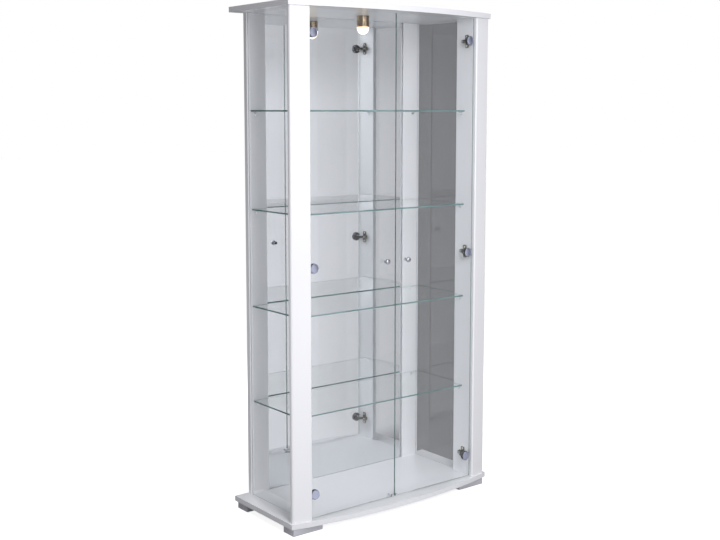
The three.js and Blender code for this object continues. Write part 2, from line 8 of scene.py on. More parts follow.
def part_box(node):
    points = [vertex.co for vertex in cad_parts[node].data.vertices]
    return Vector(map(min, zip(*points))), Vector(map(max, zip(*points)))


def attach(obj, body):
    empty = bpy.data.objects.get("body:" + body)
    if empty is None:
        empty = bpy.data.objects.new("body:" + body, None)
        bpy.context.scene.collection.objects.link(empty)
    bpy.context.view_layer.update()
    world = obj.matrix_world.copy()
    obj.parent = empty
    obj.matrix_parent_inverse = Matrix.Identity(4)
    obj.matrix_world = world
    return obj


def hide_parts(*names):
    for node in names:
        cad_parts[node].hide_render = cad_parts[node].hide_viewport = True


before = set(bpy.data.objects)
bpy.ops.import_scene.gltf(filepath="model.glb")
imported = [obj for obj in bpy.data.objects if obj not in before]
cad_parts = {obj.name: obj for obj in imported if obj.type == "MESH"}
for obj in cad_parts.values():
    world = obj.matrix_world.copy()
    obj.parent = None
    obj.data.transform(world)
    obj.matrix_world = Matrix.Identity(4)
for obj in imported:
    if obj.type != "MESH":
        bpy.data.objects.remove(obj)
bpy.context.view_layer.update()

# A bow-fronted glass curio cabinet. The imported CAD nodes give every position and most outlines. Each visible
# piece is rebuilt here from its node's surface, or turned and cut as a finer part, and gets its own material.

MM = 0.001
SIDES = {"left": -1, "right": 1}
PLACES = ("lower", "middle", "upper")
ROWS = ("front", "rear")
SHELVES = (1, 2, 3, 4)

# Rounding of edges, in millimetres
BOARD_ROUNDING = 0.9
FOOT_ROUNDING = 1.4
GLASS_ARRIS = 0.6
METAL_ROUNDING = 0.4
SHEET_ROUNDING = 0.3

SMOOTH_BELOW = math.radians(38)  # faces that meet at less than this shade as one surface
ROUND_ABOVE = math.radians(50)  # edges sharper than this are rounded
FACING = 0.9  # a face lies across an axis when its normal's share along it is above this

# Camera at the photo's viewing angle, in metres and radians, with its lens and sensor in millimetres
CAMERA_PLACE = (-2.4158, -3.0624, 1.4028)
CAMERA_DOWN = 0.1103
CAMERA_RIGHT = 0.6602
CAMERA_LENS = 54.95
CAMERA_SENSOR = 36
CAMERA_SHIFT = -0.05

# Brightness of the studio as the glass and the mirror show it
FRONT_TONE = 0.68
HORIZON_TONE = 0.88  # in front of the cabinet, where the floor and the backdrop meet
NEAR_TONE = 0.86  # of the floor close to the cabinet's front
BACK_TONE = 0.14
ABOVE_TONE = 0.35  # added straight overhead
LEFT_SHARE = 1.25  # the tones in front are this much brighter at the left
RIGHT_SHARE = 0.5  # and dim to this share at the right
BACKDROP_FILL = 0.49  # of that brightness, the part that lights the cabinet's dull surfaces
BACKDROP_FILL_RIGHT = 0.3 * BACKDROP_FILL
FLOOR_FILL = 0.32
STUDIO_TINT = (0.955, 0.96, 1.0)
LIGHT_COLOUR = (0.965, 0.965, 1.0)
LAMP_GLOW = 2.2

# What the camera sees of the floor: a pale surface, lifted nearly to white
FLOOR_SIZE = 60
FLOOR_BASE = (0.7, 0.7, 0.7, 1)
FLOOR_LIFT = (0.8, 0.8, 0.8, 1)
NO_COLOUR = (0, 0, 0, 1)

# Sockets of a colour Mix node, which share their names with its other sockets
MIX_FIRST = 6
MIX_SECOND = 7
MIX_RESULT = 2


# Node materials -----------------------------------------------------------------------------------


def add_node(material, kind, inputs=None, **settings):
    """A new node in a material or the world. Inputs are values, or the sockets that feed them."""
    tree = material.node_tree
    made = tree.nodes.new(kind)
    for name, value in settings.items():
        setattr(made, name, value)
    for name, value in (inputs or {}).items():
        if isinstance(value, bpy.types.NodeSocket):
            tree.links.new(value, made.inputs[name])
        else:
            made.inputs[name].default_value = value
    return made


def new_material(name, sockets):
    """A material whose Principled shader has these sockets set."""
    material = bpy.data.materials.new(name)
    material.use_nodes = True
    for socket, value in sockets.items():
        surface_of(material).inputs[socket].default_value = value
    return material


def surface_of(material):
    return material.node_tree.nodes["Principled BSDF"]


def feed(material, socket, source):
    material.node_tree.links.new(source, surface_of(material).inputs[socket])


def noise(material, scale, detail=3.0, stretch=(1, 1, 1)):
    """Noise over the object's own coordinates, which are metres in the row frame."""
    place = add_node(material, "ShaderNodeTexCoord")
    mapping = add_node(
        material, "ShaderNodeMapping", {"Vector": place.outputs["Object"], "Scale": stretch}
    )
    made = add_node(
        material,
        "ShaderNodeTexNoise",
        {"Vector": mapping.outputs["Vector"], "Scale": scale, "Detail": detail},
    )
    return made.outputs["Fac"]


def spread(material, source, low, high, start=0.3, end=0.7, curve="LINEAR"):
    """The source's range from start to end, mapped to low to high."""
    made = add_node(
        material,
        "ShaderNodeMapRange",
        {"Value": source, "From Min": start, "From Max": end, "To Min": low, "To Max": high},
        interpolation_type=curve,
    )
    return made.outputs["Result"]


def product(material, first, second):
    made = add_node(material, "ShaderNodeMath", {0: first, 1: second}, operation="MULTIPLY")
    return made.outputs[0]


def tones(material, source, dark, light, start=0.35, end=0.65):
    """A colour between dark and light, as the source goes from start to end."""
    ramp = add_node(material, "ShaderNodeValToRGB", {"Fac": source})
    ramp.color_ramp.elements[0].position = start
    ramp.color_ramp.elements[0].color = (*dark, 1)
    ramp.color_ramp.elements[1].position = end
    ramp.color_ramp.elements[1].color = (*light, 1)
    return ramp.outputs["Color"]


def bumps(material, source, depth_mm, strength=0.5):
    made = add_node(
        material,
        "ShaderNodeBump",
        {"Height": source, "Distance": depth_mm * MM, "Strength": strength},
    )
    feed(material, "Normal", made.outputs["Normal"])


def laminate(name, dark, light, roughness):
    """Melamine-faced board: the faintest clouding, a fine pearled surface and slightly uneven gloss."""
    material = new_material(name, {"Specular IOR Level": 0.5})
    cloud = noise(material, 2.5, 2)
    pearl = noise(material, 1400, 2)
    feed(material, "Base Color", tones(material, cloud, dark, light))
    feed(material, "Roughness", spread(material, noise(material, 4, 1), *roughness))
    bumps(material, pearl, 0.004, 0.15)
    return material


def metal(name, dark, light, roughness, scale, stretch=(1, 1, 1), metallic=1.0, depth_mm=0.01):
    """Plated or painted metal with streaks along one direction. The lamp barrel's streaks and the darkness of
    the hinges' nickel and the cover caps' chrome are painted reflections, as noted where they are made.
    """
    material = new_material(name, {"Metallic": metallic})
    streak = noise(material, scale, 4, stretch)
    feed(material, "Base Color", tones(material, streak, dark, light))
    feed(material, "Roughness", spread(material, streak, *roughness))
    bumps(material, streak, depth_mm, 0.3)
    return material


def plastic(name, dark, light, roughness, scale=300):
    material = new_material(name, {"Specular IOR Level": 0.5})
    grain = noise(material, scale, 3)
    feed(material, "Base Color", tones(material, noise(material, 25, 3), dark, light))
    feed(material, "Roughness", spread(material, grain, *roughness))
    bumps(material, grain, 0.03, 0.4)
    return material


def clear_glass(name, dark, light):
    """Float glass. Lamps and soft light pass straight through it, and it still reflects and refracts."""
    material = new_material(name, {"Transmission Weight": 1.0, "IOR": 1.5})
    tint = tones(material, noise(material, 3, 2), dark, light)
    feed(material, "Base Color", tint)
    feed(material, "Roughness", spread(material, noise(material, 18, 6), 0.0, 0.012, 0.5, 0.8))
    straight = add_node(material, "ShaderNodeBsdfTransparent", {"Color": tint})
    path = add_node(material, "ShaderNodeLightPath")
    lets_through = add_node(
        material,
        "ShaderNodeMath",
        {0: path.outputs["Is Shadow Ray"], 1: path.outputs["Is Diffuse Ray"]},
        operation="MAXIMUM",
    )
    mix = add_node(
        material,
        "ShaderNodeMixShader",
        {0: lets_through.outputs[0], 1: surface_of(material).outputs[0], 2: straight.outputs[0]},
    )
    output = material.node_tree.nodes["Material Output"]
    material.node_tree.links.new(mix.outputs[0], output.inputs["Surface"])
    return material


def glass_edge(name, dark, light):
    """A pane's polished edge, where the glass is seen along its own depth."""
    material = new_material(name, {"Transmission Weight": 0.35, "IOR": 1.5, "Specular IOR Level": 0.6})
    along = noise(material, 14, 5, (1, 1, 6))
    feed(material, "Base Color", tones(material, along, dark, light, 0.3, 0.7))
    feed(material, "Roughness", spread(material, noise(material, 90, 4), 0.08, 0.2))
    return material


def mirror_silver(name):
    material = new_material(name, {"Metallic": 1.0})
    haze = noise(material, 4, 3)
    feed(material, "Base Color", tones(material, haze, (0.815, 0.828, 0.836), (0.84, 0.85, 0.862)))
    feed(material, "Roughness", spread(material, noise(material, 25, 5), 0.0, 0.012, 0.5, 0.8))
    return material


def lit_opal(name):
    """Opal glass of a burning lamp, warmer towards its rim."""
    material = new_material(name, {"Base Color": (1, 0.95, 0.85, 1), "Emission Strength": LAMP_GLOW})
    place = add_node(material, "ShaderNodeTexCoord")
    height = add_node(material, "ShaderNodeSeparateXYZ", {"Vector": place.outputs["Generated"]})
    warmth = tones(material, height.outputs["Z"], (1.0, 0.88, 0.66), (0.62, 0.40, 0.2), 0.0, 0.55)
    feed(material, "Emission Color", warmth)
    feed(material, "Roughness", spread(material, noise(material, 200, 2), 0.25, 0.4))
    return material


WHITE = laminate("white laminate", (0.812, 0.812, 0.826), (0.826, 0.826, 0.838), (0.25, 0.27))
EDGE_BAND = laminate("white edge band", (0.782, 0.782, 0.80), (0.80, 0.80, 0.818), (0.27, 0.32))
BACKING = laminate("painted hardboard", (0.66, 0.65, 0.63), (0.74, 0.73, 0.71), (0.6, 0.8))
FOOT_SILVER = metal(
    "silver foil", (0.60, 0.60, 0.64), (0.68, 0.68, 0.72), (0.34, 0.46), 90, (0.05, 1, 1), metallic=0.4
)
CHROME = metal("chrome", (0.80, 0.80, 0.84), (0.86, 0.86, 0.89), (0.03, 0.09), 120)
# The cover caps' chrome is darker than plain chrome and tinted lavender. This is a painted reflection of dim
# lavender surroundings.
CAP_CHROME_PAINTED_REFLECTION = metal("cap chrome with painted reflection", (0.38, 0.40, 0.51), (0.47, 0.49, 0.60), (0.08, 0.16), 200)
# The hinges' nickel is darkened far below bare nickel, and the arm almost to black. These are painted dark
# reflections, made as a lighter and a darker copy of one plating.
PLATE_NICKEL_WITH_PAINTED_REFLECTION = metal("plate nickel with painted reflection", (0.14, 0.13, 0.09), (0.30, 0.28, 0.21), (0.12, 0.24), 200, (0.3, 1, 1))
ARM_NICKEL_WITH_PAINTED_REFLECTION = metal("arm nickel with painted reflection", (0.018, 0.017, 0.013), (0.17, 0.16, 0.125), (0.06, 0.16), 120, (0.4, 1, 1))
KNOB_CHROME = metal("satin chrome", (0.36, 0.36, 0.40), (0.46, 0.46, 0.50), (0.24, 0.32), 160)
DARK_SCREW = metal("blackened screw", (0.03, 0.03, 0.034), (0.10, 0.10, 0.11), (0.18, 0.32), 400)
SUPPORT_STEEL = metal("bright nickel", (0.70, 0.70, 0.72), (0.80, 0.80, 0.82), (0.2, 0.32), 260, (0.2, 1, 1))
SCREW = metal("screw zinc", (0.60, 0.60, 0.58), (0.74, 0.74, 0.72), (0.2, 0.35), 500)
# The barrel's warm tint and its dark and gold upright streaks are painted reflections of the lit bulb and of
# the cabinet's upright parts.
LAMP_METAL_PAINTED_REFLECTIONS = metal(
    "lamp chrome with painted reflections", (0.10, 0.062, 0.035), (0.74, 0.56, 0.36), (0.06, 0.14), 150, (1, 1, 0.04)
)
BLACK = plastic("black moulding", (0.004, 0.004, 0.005), (0.012, 0.012, 0.014), (0.35, 0.5))
GREY_PLASTIC = plastic("light grey moulding", (0.66, 0.66, 0.68), (0.74, 0.74, 0.76), (0.4, 0.55))
SOFT_PAD = plastic("clear pad", (0.62, 0.66, 0.66), (0.72, 0.76, 0.76), (0.25, 0.4))
PANE = clear_glass("clear glass", (0.971, 0.975, 0.979), (0.977, 0.981, 0.985))
SHELF_PANE = clear_glass("shelf glass", (0.945, 0.972, 0.965), (0.955, 0.98, 0.972))
PANE_EDGE = glass_edge("pane edge", (0.05, 0.11, 0.10), (0.16, 0.28, 0.25))
SHELF_EDGE = glass_edge("shelf edge", (0.06, 0.165, 0.16), (0.26, 0.44, 0.43))
SILVER = mirror_silver("silvered glass")
OPAL = lit_opal("lit opal glass")


# Mesh helpers -------------------------------------------------------------------------------------


def surface_mesh(node):
    """A CAD node's own surface, with its corners welded and its flat faces made whole."""
    mesh = bmesh.new()
    mesh.from_mesh(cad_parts[node].data)
    bmesh.ops.remove_doubles(mesh, verts=mesh.verts, dist=1e-6)
    bmesh.ops.dissolve_limit(
        mesh, angle_limit=math.radians(0.5), verts=mesh.verts, edges=mesh.edges
    )
    return mesh


def rounded(mesh, width_mm, steps=2, unit=MM):
    """Rounds the mesh's sharp edges."""
    sharp = [
        edge
        for edge in mesh.edges
        if len(edge.link_faces) == 2 and edge.calc_face_angle() > ROUND_ABOVE
    ]
    bmesh.ops.bevel(
        mesh,
        geom=sharp,
        offset=width_mm * unit,
        segments=steps,
        profile=0.5,
        affect="EDGES",
        clamp_overlap=True,
    )
    return mesh


def turned(profile, steps=40, closed=False, lobes=None):
    """A shape turned about Y from (radius, y) points in millimetres, from axis to axis, or a closed ring.
    Points numbered in lobes get four rounded lobes, as in a screw's cross recess."""
    mesh = bmesh.new()
    rings = []
    for number, (radius, y) in enumerate(profile):
        if radius == 0:
            rings.append([mesh.verts.new((0, y, 0))])
            continue
        ring = []
        for step in range(steps):
            angle = 2 * math.pi * step / steps
            swell = 1 + 0.38 * math.cos(4 * angle) if lobes and number in lobes else 1
            ring.append(
                mesh.verts.new((radius * swell * math.cos(angle), y, radius * swell * math.sin(angle)))
            )
        rings.append(ring)
    pairs = list(zip(rings, rings[1:]))
    if closed:
        pairs.append((rings[-1], rings[0]))
    for before, after in pairs:
        for step in range(steps):
            following = (step + 1) % steps
            corners = [
                before[step % len(before)],
                before[following % len(before)],
                after[following % len(after)],
                after[step % len(after)],
            ]
            mesh.faces.new(list(dict.fromkeys(corners)))
    return mesh


def prism(outline, low, high):
    """An outline of (x, y) points raised from z = low to z = high."""
    mesh = bmesh.new()
    bottom = [mesh.verts.new((x, y, low)) for x, y in outline]
    top = [mesh.verts.new((x, y, high)) for x, y in outline]
    mesh.faces.new(bottom)
    mesh.faces.new(top)
    for index in range(len(outline)):
        after = (index + 1) % len(outline)
        mesh.faces.new([bottom[index], bottom[after], top[after], top[index]])
    bmesh.ops.recalc_face_normals(mesh, faces=mesh.faces)
    return mesh


def block(low, high, rounding=0.3):
    """A box with rounded edges, in millimetres."""
    (x0, y0, z0), (x1, y1, z1) = low, high
    mesh = prism([(x0, y0), (x1, y0), (x1, y1), (x0, y1)], z0, z1)
    return rounded(mesh, rounding, unit=1)


def moved(mesh, place):
    bmesh.ops.transform(mesh, matrix=place, verts=mesh.verts)
    return mesh


def local_place(origin, sign=1):
    """Millimetres in a piece's own frame to metres in the row frame, mirrored for the left side."""
    return Matrix.Translation(origin) @ Matrix.Diagonal((sign * MM, MM, MM, 1))


def turn_y_to(direction):
    """A rotation that takes the Y axis to a direction."""
    return Vector((0, 1, 0)).rotation_difference(Vector(direction)).to_matrix().to_4x4()


def all_moved(parts, place):
    """The (mesh, material) parts, each mesh moved."""
    return [(moved(mesh, place), material) for mesh, material in parts]


def make_piece(name, parts, body, replaces):
    """One object from (mesh, material) parts, or (mesh, face material, edge material, thin axis) parts.
    It rides on the body and stands for the CAD nodes."""
    materials = []
    whole = bmesh.new()
    for part in parts:
        mesh, used = part[0], [m for m in part[1:] if isinstance(m, bpy.types.Material)]
        for material in used:
            if material not in materials:
                materials.append(material)
        bmesh.ops.recalc_face_normals(mesh, faces=mesh.faces)
        for face in mesh.faces:
            broad = len(used) == 1 or abs(face.normal[part[3]]) > FACING
            face.material_index = materials.index(used[0] if broad else used[1])
        piece = bpy.data.meshes.new(name)
        mesh.to_mesh(piece)
        mesh.free()
        whole.from_mesh(piece)
        bpy.data.meshes.remove(piece)
    for face in whole.faces:
        face.smooth = True
    for edge in whole.edges:
        if len(edge.link_faces) == 2:
            edge.smooth = edge.calc_face_angle() < SMOOTH_BELOW
    data = bpy.data.meshes.new(name)
    whole.to_mesh(data)
    whole.free()
    for material in materials:
        data.materials.append(material)
    piece = bpy.data.objects.new(name, data)
    bpy.context.scene.collection.objects.link(piece)
    normals = piece.modifiers.new("even shading", "WEIGHTED_NORMAL")
    normals.keep_sharp = True
    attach(piece, body)
    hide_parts(*replaces)
    return piece


def screw_head(radius, height, place):
    """A domed screw head with a cross recess, standing on the plane y = 0 towards -Y."""
    recess = 0.42 * radius
    profile = [
        (0, -0.25 * height),
        (0.35 * recess, -0.25 * height),
        (recess, -0.93 * height),
        (0.62 * radius, -height),
        (0.86 * radius, -0.78 * height),
        (radius, -0.4 * height),
        (radius, 0),
        (0, 0),
    ]
    return moved(turned(profile, 32, lobes=(1, 2)), place)


# Boards, uprights, feet and back ------------------------------------------------------------------


def make_boards():
    for node in ("base_board", "top_board"):
        mesh = rounded(surface_mesh(node), BOARD_ROUNDING)
        make_piece(f"{node}_faced", [(mesh, WHITE, EDGE_BAND, 2)], "cabinet", [node])
    for side in SIDES:
        for node in (f"pilaster_{side}", f"rear_post_{side}"):
            mesh = rounded(surface_mesh(node), BOARD_ROUNDING)
            make_piece(f"{node}_faced", [(mesh, WHITE)], "cabinet", [node])


def make_feet():
    for row in ROWS:
        for side in SIDES:
            node = f"foot_{row}_{side}"
            mesh = rounded(surface_mesh(node), FOOT_ROUNDING, 3)
            make_piece(f"{node}_block", [(mesh, FOOT_SILVER)], "cabinet", [node])


def make_back():
    glass = rounded(surface_mesh("back_mirror"), GLASS_ARRIS)
    sheet = make_piece("mirror_sheet", [(glass, PANE, PANE_EDGE, 1)], "cabinet", ["back_mirror"])
    silvered = len(sheet.data.materials)
    sheet.data.materials.append(SILVER)
    for face in sheet.data.polygons:
        if face.normal.y > FACING:
            face.material_index = silvered

    low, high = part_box("back_panel")
    parts = [(rounded(surface_mesh("back_panel"), SHEET_ROUNDING), BACKING)]
    inset = 12 * MM
    screws_up = 7
    screw_radius, screw_height = 4.2, 2.0
    for level in range(screws_up):
        height = low.z + inset + (high.z - low.z - 2 * inset) * level / (screws_up - 1)
        for x in (low.x + inset, high.x - inset):
            place = local_place((x, high.y, height)) @ turn_y_to((0, -1, 0))
            parts.append((screw_head(screw_radius, screw_height, place), SCREW))
    make_piece("back_panel_sheet", parts, "cabinet", ["back_panel"])


# Glass --------------------------------------------------------------------------------------------


def make_panes():
    for side in SIDES:
        node = f"side_glass_{side}"
        mesh = rounded(surface_mesh(node), GLASS_ARRIS)
        make_piece(f"{node}_pane", [(mesh, PANE, PANE_EDGE, 0)], "cabinet", [node])
        node = f"door_glass_{side}"
        mesh = rounded(surface_mesh(node), GLASS_ARRIS)
        make_piece(f"{node}_pane", [(mesh, PANE, PANE_EDGE, 1)], f"door_{side}", [node])
    for number in SHELVES:
        node = f"shelf_{number}"
        mesh = rounded(surface_mesh(node), GLASS_ARRIS)
        make_piece(f"{node}_pane", [(mesh, SHELF_PANE, SHELF_EDGE, 2)], "cabinet", [node])


def support_pad(node, row, side):
    """The clear pad on a support's plate. A front plate reaches along X and a rear one along Y."""
    reach, width, height = 11, 8, 0.22
    from_tip = reach / 2 + 1.5
    low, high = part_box(node)
    if row == "front":
        tip = low.x if side == "right" else high.x
        centre = Vector((tip + SIDES[side] * from_tip * MM, (low.y + high.y) / 2, high.z))
        half_x, half_y = reach / 2, width / 2
    else:
        centre = Vector(((low.x + high.x) / 2, low.y + from_tip * MM, high.z))
        half_x, half_y = width / 2, reach / 2
    pad = block((-half_x, -half_y, 0), (half_x, half_y, height), 0.08)
    return moved(pad, local_place(centre))


def make_supports():
    for number in SHELVES:
        for row in ROWS:
            for side in SIDES:
                node = f"shelf_{number}_support_{row}_{side}"
                bracket = rounded(surface_mesh(node), METAL_ROUNDING)
                pad = support_pad(node, row, side)
                make_piece(
                    f"{node}_bracket",
                    [(bracket, SUPPORT_STEEL), (pad, SOFT_PAD)],
                    "cabinet",
                    [node],
                )


# Hinges -------------------------------------------------------------------------------------------


def hinge_place(side, place):
    """The right side's hinge frame, mirrored for the left. x = 0 is the pilaster's inner face with -x into
    the cabinet, y = 0 is the door glass's front, and z = 0 is the cup's level."""
    cup_low, cup_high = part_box(f"hinge_cup_{side}_{place}")
    post_low, post_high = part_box(f"pilaster_{side}")
    face = post_low.x if side == "right" else post_high.x
    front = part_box(f"door_glass_{side}")[0].y
    return local_place((face, front, (cup_low.z + cup_high.z) / 2), SIDES[side])


# Places and radii in the hinge's frame, in millimetres
CUP_X = -20
PIN_X = -22
PIN_Y = 9
GLASS_BACK = 5  # the door glass's thickness
CAP_RADIUS = 16.5
CAP_BACK = -0.35
GASKET_INNER = 13.6
PLUG_RADIUS = 12.9
PLUG_BACK = 2.4
CUP_FLOOR_RADIUS = 12.25
RING_RADIUS = 17.0
RING_BACK = GLASS_BACK + 7.3
SLOT_HALF_WIDTH = 5.8
SLOT_END = -3.5
RING_SCREW_OFFSET = 10.4
PIN_RADIUS = 1.45
PIN_HALF_LENGTH = 13
ARM_HALF_WIDTH = 4.3
PLATE_BACK = -0.3  # a hair off the pilaster's face

AT_CUP = Matrix.Translation((CUP_X, 0, 0))
AT_PIN = Matrix.Translation((PIN_X, PIN_Y, 0)) @ turn_y_to((0, 0, 1))


def rod(radius, low, high, steps):
    """A solid round bar or disc along Y."""
    return turned([(0, low), (radius, low), (radius, high), (0, high)], steps)


def sleeve(inner, outer, low, high, steps):
    """A plain ring or tube along Y."""
    return turned([(inner, low), (outer, low), (outer, high), (inner, high)], steps, closed=True)


def cup_parts():
    """Cover cap in front of the glass, the plug through the glass, and a gasket on each of its faces."""
    cap = turned(
        [
            (0, -2.6),
            (4, -2.55),
            (8, -2.38),
            (11.5, -2.1),
            (13.6, -1.8),
            (14.1, -1.55),
            (14.6, -1.6),
            (15.4, -1.95),
            (16.1, -1.75),
            (CAP_RADIUS, -1.2),
            (CAP_RADIUS, CAP_BACK),
            (0, CAP_BACK),
        ],
        64,
    )
    front_gasket = sleeve(GASKET_INNER, 15.9, -0.34, -0.04, 48)
    back_gasket = sleeve(GASKET_INNER, 16.6, 5.04, 5.28, 48)
    plug = rod(PLUG_RADIUS, -0.34, PLUG_BACK, 48)
    parts = [(cap, CAP_CHROME_PAINTED_REFLECTION), (front_gasket, BLACK), (back_gasket, BLACK), (plug, BLACK)]
    return all_moved(parts, AT_CUP)


def horseshoe():
    """The clamp ring's outline: a round with a slot from its rim, which ends in a half round."""
    rim_steps, bend_steps = 44, 12
    opening = math.asin(SLOT_HALF_WIDTH / RING_RADIUS)
    outline = []
    for step in range(rim_steps + 1):
        angle = opening + (2 * math.pi - 2 * opening) * step / rim_steps
        outline.append((RING_RADIUS * math.cos(angle), RING_RADIUS * math.sin(angle)))
    for step in range(bend_steps + 1):
        angle = math.pi * (1.5 - step / bend_steps)
        outline.append((SLOT_END + SLOT_HALF_WIDTH * math.cos(angle), SLOT_HALF_WIDTH * math.sin(angle)))
    return outline


def clamp_ring():
    """The black ring behind the glass, open on the pilaster's side where the arm comes in, with the cup's
    bright floor, its two screws and the hinge pin."""
    ring = rounded(prism(horseshoe(), -RING_BACK, -GLASS_BACK - 0.3), 0.7, unit=1)
    moved(ring, AT_CUP @ Matrix.Rotation(math.radians(90), 4, "X"))
    cup_floor = moved(rod(CUP_FLOOR_RADIUS, 2.45, 4.9, 40), AT_CUP)
    screws = []
    for sign in (-1, 1):
        spot = (CUP_X - RING_SCREW_OFFSET, RING_BACK, sign * RING_SCREW_OFFSET)
        place = Matrix.Translation(spot) @ turn_y_to((0, -1, 0))
        screws.append((screw_head(2.3, 0.9, place), SCREW))
    pin = moved(rod(PIN_RADIUS, -PIN_HALF_LENGTH, PIN_HALF_LENGTH, 20), AT_PIN)
    return [(ring, BLACK), (cup_floor, CHROME), (pin, SCREW), *screws]


def band(points, thickness):
    """A band of even thickness along a bent line, as an outline."""
    outward, inward = [], []
    for index, (x, y) in enumerate(points):
        px, py = points[max(index - 1, 0)]
        nx, ny = points[min(index + 1, len(points) - 1)]
        length = math.hypot(nx - px, ny - py)
        ox, oy = -(ny - py) / length * thickness / 2, (nx - px) / length * thickness / 2
        outward.append((x + ox, y + oy))
        inward.append((x - ox, y - oy))
    return outward + inward[::-1]


def arm_parts():
    """Pressed arm round the pin, its housing with two adjusting screws, and the cross-shaped plate."""
    bends = [
        (-24.4, 10.2),
        (-26.6, 15),
        (-27.4, 20),
        (-27.3, 25),
        (-26, 30.5),
        (-22, 35),
        (-14, 39.5),
        (-7, 43),
    ]
    strap_thickness = 2.6
    strap = prism(band(bends, strap_thickness), -ARM_HALF_WIDTH, ARM_HALF_WIDTH)
    rounded(strap, 0.5, unit=1)
    barrel = moved(sleeve(1.75, 3.2, -4.4, 4.4, 28), AT_PIN)

    top, face = -11, -2.5
    housing_outline = [(face, 38), (-8.5, 38), (top, 41), (top, 58), (-9.5, 60), (face, 60)]
    housing = rounded(prism(housing_outline, -5.4, 5.4), 0.8, unit=1)
    plate = block((-3.3, 32, -7), (PLATE_BACK, 58, 7), 0.6)

    wing_outline = [(31, -19), (33, -23), (47, -23), (49, -19), (49, 19), (47, 23), (33, 23), (31, 19)]
    wings = prism(wing_outline, face, PLATE_BACK)
    onto_plate = Matrix(((0, 0, 1, 0), (1, 0, 0, 0), (0, 1, 0, 0), (0, 0, 0, 1)))  # X to Y, Y to Z, Z to X
    rounded(moved(wings, onto_plate), 0.5, unit=1)

    parts = [
        (strap, ARM_NICKEL_WITH_PAINTED_REFLECTION),
        (barrel, ARM_NICKEL_WITH_PAINTED_REFLECTION),
        (housing, ARM_NICKEL_WITH_PAINTED_REFLECTION),
        (plate, PLATE_NICKEL_WITH_PAINTED_REFLECTION),
        (wings, PLATE_NICKEL_WITH_PAINTED_REFLECTION),
    ]
    screws = [
        (4.0, 1.9, (face, 40, 16)),
        (4.0, 1.9, (face, 40, -16)),
        (2.7, 1.2, (top, 45, 0)),
        (2.7, 1.2, (top, 53.5, 0)),
    ]
    for radius, height, spot in screws:
        place = Matrix.Translation(spot) @ turn_y_to((1, 0, 0))
        parts.append((screw_head(radius, height, place), SCREW))
    return parts


def make_hinges():
    for side in SIDES:
        for place in PLACES:
            to_row = hinge_place(side, place)
            cup = all_moved([*cup_parts(), *clamp_ring()], to_row)
            cup_node = f"hinge_cup_{side}_{place}"
            make_piece(f"{cup_node}_fitted", cup, f"door_{side}", [cup_node])
            arm = all_moved(arm_parts(), to_row)
            arm_node = f"hinge_arm_{side}_{place}"
            make_piece(f"{arm_node}_fitted", arm, "cabinet", [arm_node])


# Knobs, strikers and catch ------------------------------------------------------------------------


def knob_profile(back):
    """A rounded head on a waisted neck, a foot on the glass, and the stud through it, from the front."""
    head_radius, head_half_depth, head_centre = 9.5, 6.5, -14.5
    foot_radius, foot_face = 5.5, -0.3
    stud_radius = 2.6
    steps = 14
    head = []
    for step in range(1, steps - 1):
        angle = math.pi * step / steps
        head.append((head_radius * math.sin(angle) ** 0.6, head_centre - head_half_depth * math.cos(angle)))
    return [
        (0, head_centre - head_half_depth),
        *head,
        (3.7, -8.2),
        (3.5, -5),
        (3.9, -3.6),
        (5.0, -2.4),
        (foot_radius, -1.7),
        (foot_radius, foot_face),
        (stud_radius, foot_face),
        (stud_radius, back),
        (0, back),
    ]


def make_knobs():
    back = GLASS_BACK + 0.4
    for side in SIDES:
        node = f"knob_{side}"
        low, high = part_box(node)
        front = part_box(f"door_glass_{side}")[0].y
        to_row = local_place(((low.x + high.x) / 2, front, (low.z + high.z) / 2))
        knob = moved(turned(knob_profile(back), 48), to_row)
        washer = moved(sleeve(2.7, 6.4, GLASS_BACK + 0.05, back, 32), to_row)
        screw = screw_head(5.2, 2.4, to_row @ Matrix.Translation((0, back, 0)) @ turn_y_to((0, -1, 0)))
        make_piece(
            f"{node}_turned",
            [(knob, KNOB_CHROME), (washer, SOFT_PAD), (screw, DARK_SCREW)],
            f"door_{side}",
            [node],
        )


def make_strikers():
    for side in SIDES:
        node = f"striker_{side}"
        clip = rounded(surface_mesh(node), SHEET_ROUNDING)
        make_piece(f"{node}_clip", [(clip, CHROME)], f"door_{side}", [node])


def make_catch():
    """The catch's body between two screwed ears, with its two steel pole strips in front."""
    node = "magnetic_catch"
    low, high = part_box(node)
    width, depth, height = [(high[axis] - low[axis]) / MM for axis in range(3)]
    body_half, strip_half = 15, 13
    ear_height, ear_screw_x = 4.6, 19
    strip_height = 1.4
    body = block((-body_half, 0, 0), (body_half, depth, height), 1.0)
    ears = block((-width / 2, 3, 0), (width / 2, depth - 1, ear_height), 1.0)
    parts = [(body, GREY_PLASTIC), (ears, GREY_PLASTIC)]
    for level in (5.5, 10.5):
        strip = block((-strip_half, -0.6, level), (strip_half, 4, level + strip_height), 0.15)
        parts.append((strip, SCREW))
    for sign in (-1, 1):
        spot = (sign * ear_screw_x, depth / 2 + 1, ear_height)
        place = Matrix.Translation(spot) @ turn_y_to((0, 0, -1))
        parts.append((screw_head(3.0, 1.3, place), SCREW))
    to_row = local_place(((low.x + high.x) / 2, low.y, low.z))
    make_piece(f"{node}_body", all_moved(parts, to_row), "cabinet", [node])


# Lamp and grommet ---------------------------------------------------------------------------------


def upright_at(low, high, base):
    """A turned piece's Y axis stood upwards on the box's centre line at that height."""
    centre = Vector(((low.x + high.x) / 2, (low.y + high.y) / 2, base))
    return local_place(centre) @ turn_y_to((0, 0, 1))


